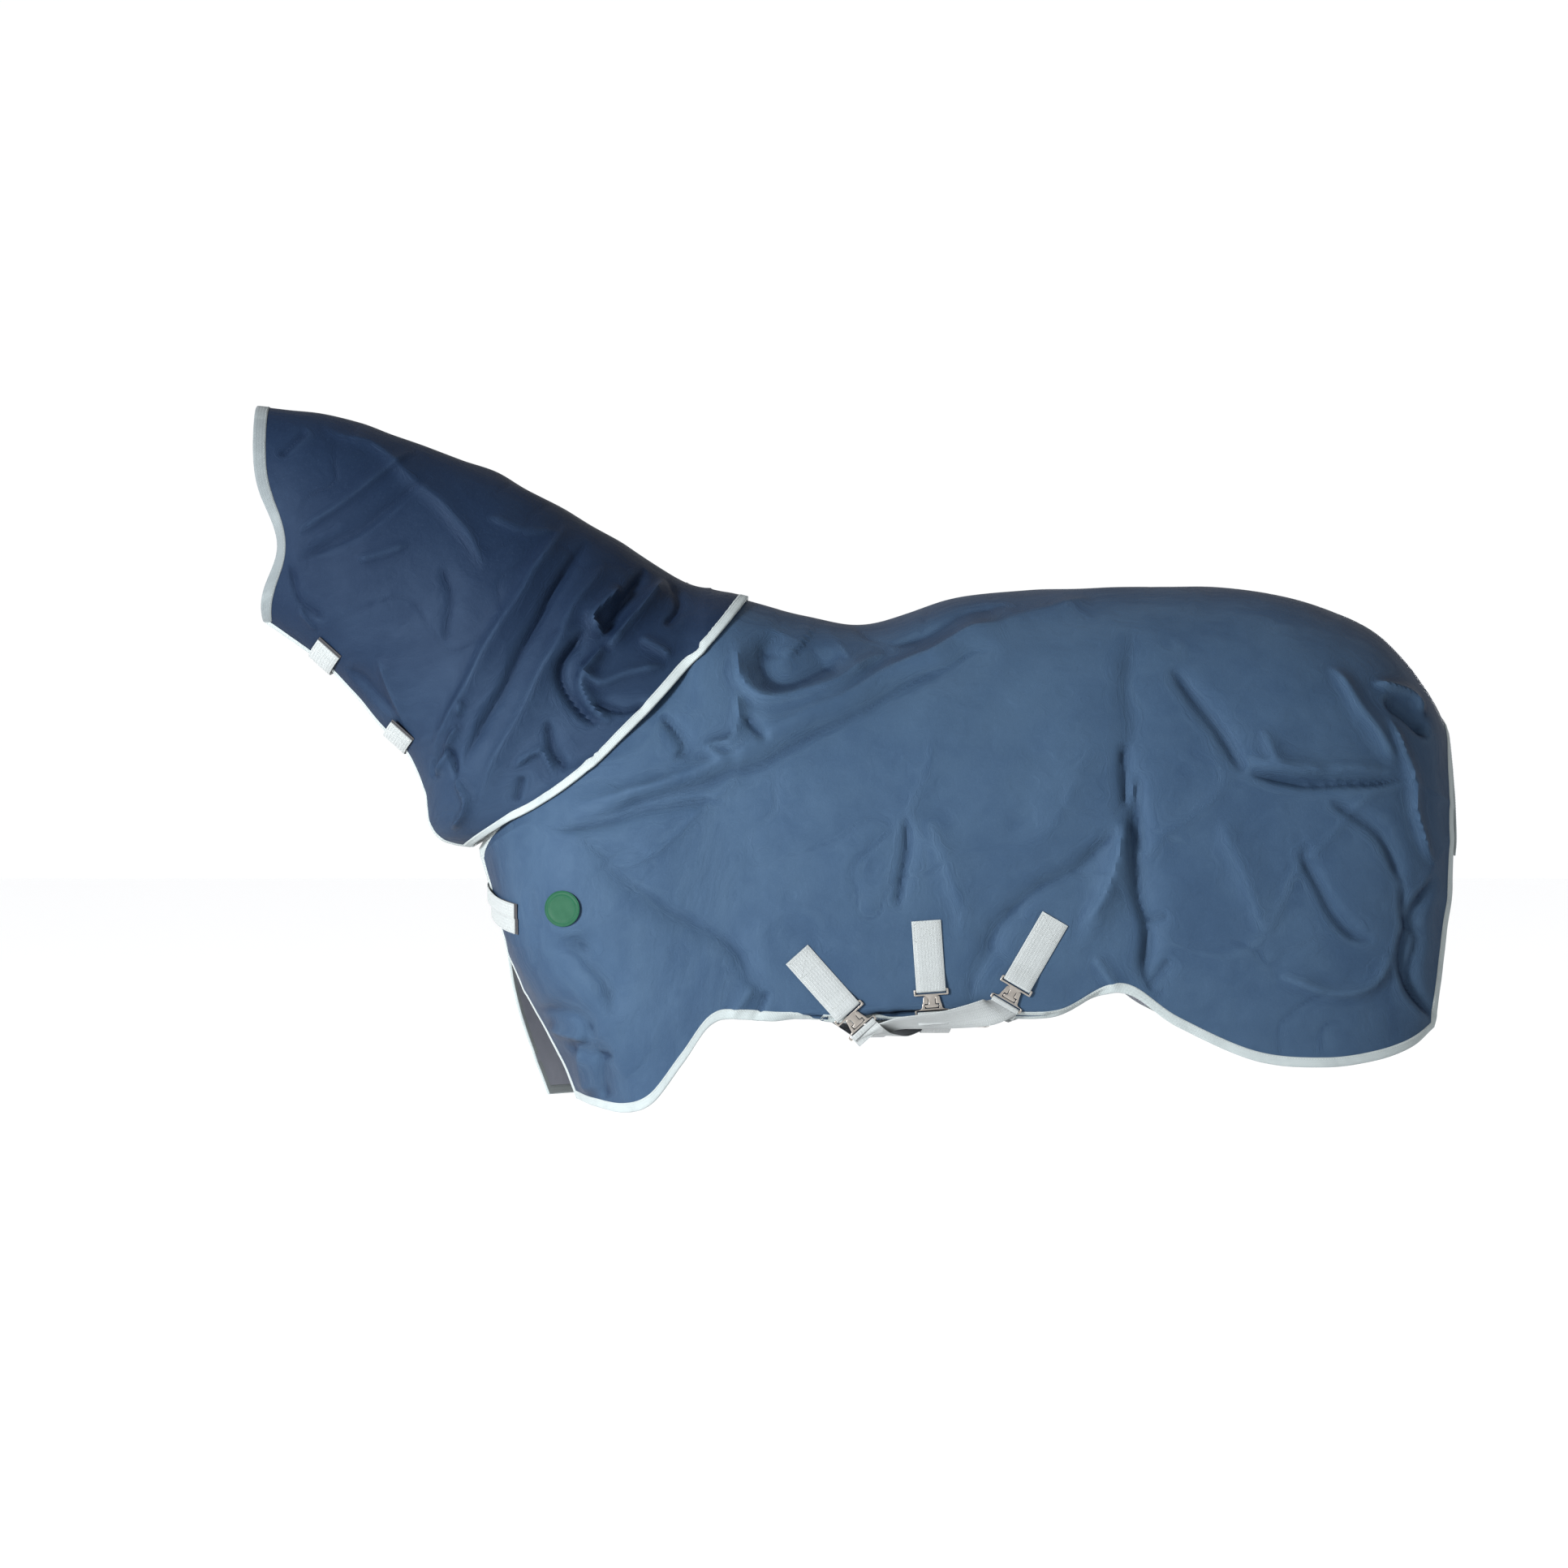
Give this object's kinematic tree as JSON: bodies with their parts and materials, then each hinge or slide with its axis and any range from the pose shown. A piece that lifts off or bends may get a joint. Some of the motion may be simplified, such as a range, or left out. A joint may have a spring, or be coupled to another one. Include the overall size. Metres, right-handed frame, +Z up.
{
  "type": "horse turnout rug",
  "caption": "Waterproof horse rug with a neck cover, shown worn: bound side panels, chest and belly straps with metal clips, and a tail flap.",
  "frame": {"origin": "on the spine at the withers, where the neck cover's rear hem crosses it", "axes": "+X towards the tail, +Z up, the rug's left side at -Y"},
  "size_m": [2.1294, 0.6799, 1.2397],
  "materials": {
    "shell": "woven polyester with a soft sheen",
    "lining": "smooth lining cloth",
    "binding": "ribbed woven tape, stitched",
    "webbing": "woven webbing",
    "touch_tape": "napped hook-and-loop tape",
    "nickel": "nickel plate",
    "badge": "moulded, satin"
  },
  "bodies": {
    "neck_cover": {"neck_cover_left_binding": "binding", "neck_cover_left_lining": "lining", "neck_cover_left_panel": "shell", "neck_cover_right_binding": "binding", "neck_cover_right_lining": "lining", "neck_cover_right_panel": "shell", "neck_strap_anchor_lower": "shell", "neck_strap_anchor_upper": "shell", "neck_strap_tape_lower": "touch_tape", "neck_strap_tape_upper": "touch_tape", "withers_hook_tape_left": "touch_tape", "withers_hook_tape_right": "touch_tape"},
    "tail_flap": {"tail_flap": "shell", "tail_flap_binding": "binding"},
    "rug_body": {"badge": "badge", "belly_anchor_patch_front": "shell", "belly_anchor_patch_middle": "shell", "belly_anchor_patch_rear": "shell", "belly_strap_front": "webbing", "belly_strap_middle": "webbing", "belly_strap_rear": "webbing", "belly_strap_slide_front": "nickel", "belly_strap_slide_middle": "nickel", "belly_strap_slide_rear": "nickel", "chest_strap_anchor_lower": "shell", "chest_strap_anchor_upper": "shell", "chest_tape_lower": "touch_tape", "chest_tape_upper": "touch_tape", "left_edge_binding": "binding", "left_side_lining": "lining", "left_side_panel": "shell", "right_edge_binding": "binding", "right_side_lining": "lining", "right_side_panel": "shell", "surcingle_plate_front": "nickel", "surcingle_plate_middle": "nickel", "surcingle_plate_rear": "nickel", "surcingle_strap_front": "webbing", "surcingle_strap_middle": "webbing", "surcingle_strap_rear": "webbing", "withers_loop_tape_left": "touch_tape", "withers_loop_tape_right": "touch_tape"},
    "chest_strap_lower": {"chest_strap_lower": "webbing"},
    "chest_strap_upper": {"chest_strap_upper": "webbing"},
    "neck_strap_lower": {"neck_strap_lower": "webbing"},
    "neck_strap_upper": {"neck_strap_upper": "webbing"},
    "surcingle_clip_front": {"surcingle_clip_front": "nickel"},
    "surcingle_clip_middle": {"surcingle_clip_middle": "nickel"},
    "surcingle_clip_rear": {"surcingle_clip_rear": "nickel"}
  },
  "joints": [
    {"name": "neck_cover_swing", "type": "hinge", "parent": "rug_body", "child": "neck_cover", "pos_m": [0.006, 0, 0], "axis": [0, 1, 0], "range_deg": [0, 15]},
    {"name": "tail_flap_lift", "type": "hinge", "parent": "rug_body", "child": "tail_flap", "pos_m": [1.2542, 0, -0.2075], "axis": [0, -1, 0], "range_deg": [0, 100]},
    {"name": "chest_strap_upper_open", "type": "hinge", "parent": "rug_body", "child": "chest_strap_upper", "pos_m": [-0.41828, 0.13148, -0.521], "axis": [0, 0, -1], "range_deg": [0, 110]},
    {"name": "chest_strap_lower_open", "type": "hinge", "parent": "rug_body", "child": "chest_strap_lower", "pos_m": [-0.41301, 0.12736, -0.561], "axis": [0, 0, -1], "range_deg": [0, 110]},
    {"name": "neck_strap_upper_open", "type": "hinge", "parent": "neck_cover", "child": "neck_strap_upper", "pos_m": [-0.72635, 0.07101, -0.07862], "axis": [0.7431, 0, -0.6691], "range_deg": [0, 100]},
    {"name": "neck_strap_lower_open", "type": "hinge", "parent": "neck_cover", "child": "neck_strap_lower", "pos_m": [-0.59686, 0.07942, -0.22441], "axis": [0.7431, 0, -0.6691], "range_deg": [0, 100]},
    {"name": "surcingle_clip_front_swing", "type": "hinge", "parent": "rug_body", "child": "surcingle_clip_front", "pos_m": [0.186, -0.33593, -0.70412], "axis": [-0.7452, 0, -0.6668], "range_deg": [0, 60]},
    {"name": "surcingle_clip_middle_swing", "type": "hinge", "parent": "rug_body", "child": "surcingle_clip_middle", "pos_m": [0.3281, -0.33728, -0.6675], "axis": [-0.9976, 0, -0.0688], "range_deg": [0, 60]},
    {"name": "surcingle_clip_rear_swing", "type": "hinge", "parent": "rug_body", "child": "surcingle_clip_rear", "pos_m": [0.47524, -0.33621, -0.65729], "axis": [-0.8623, 0, 0.5063], "range_deg": [0, 60]}
  ]
}
